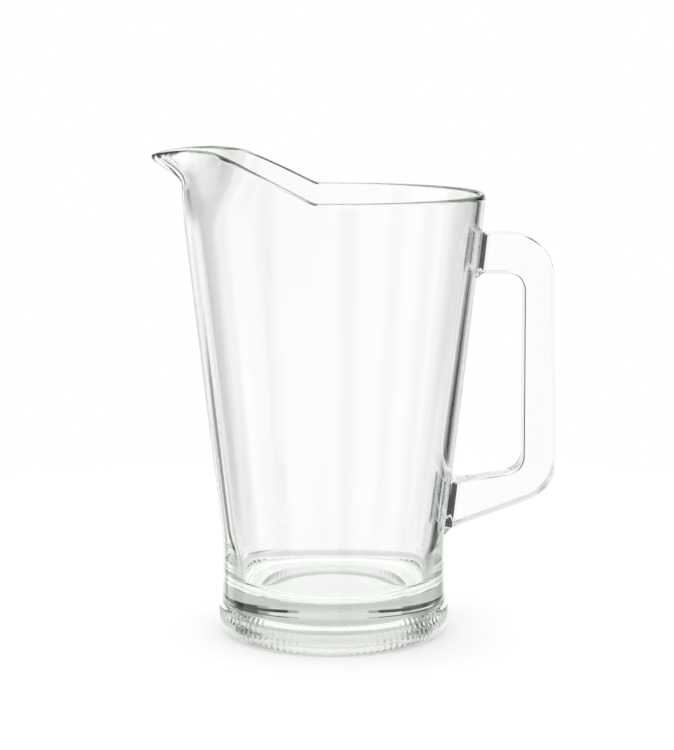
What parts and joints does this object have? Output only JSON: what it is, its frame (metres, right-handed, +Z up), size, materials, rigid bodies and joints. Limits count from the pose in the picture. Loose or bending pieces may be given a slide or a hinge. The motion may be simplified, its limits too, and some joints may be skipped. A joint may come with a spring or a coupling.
{
  "type": "water pitcher",
  "caption": "Clear pressed-glass water pitcher with a tapered wall, a pulled pouring lip, a heavy banded foot and a solid squared handle stuck on at its back.",
  "frame": {"origin": "middle of the pitcher's footprint on the surface it stands on; the vessel's own axis is the vertical line at x = -0.01017", "axes": "+Z up, +X from the vessel towards the handle, -X towards the pouring lip; the pitcher is mirror-symmetric about the XZ plane"},
  "size_m": [0.1952, 0.1464, 0.2362],
  "materials": {
    "vessel_glass": "fire-polished soda-lime glass, faintly green where it is thick",
    "handle_glass": "fire-polished soda-lime glass"
  },
  "bodies": {
    "root": {"vessel_wall": "vessel_glass", "foot": "vessel_glass", "handle": "handle_glass"}
  },
  "joints": []
}
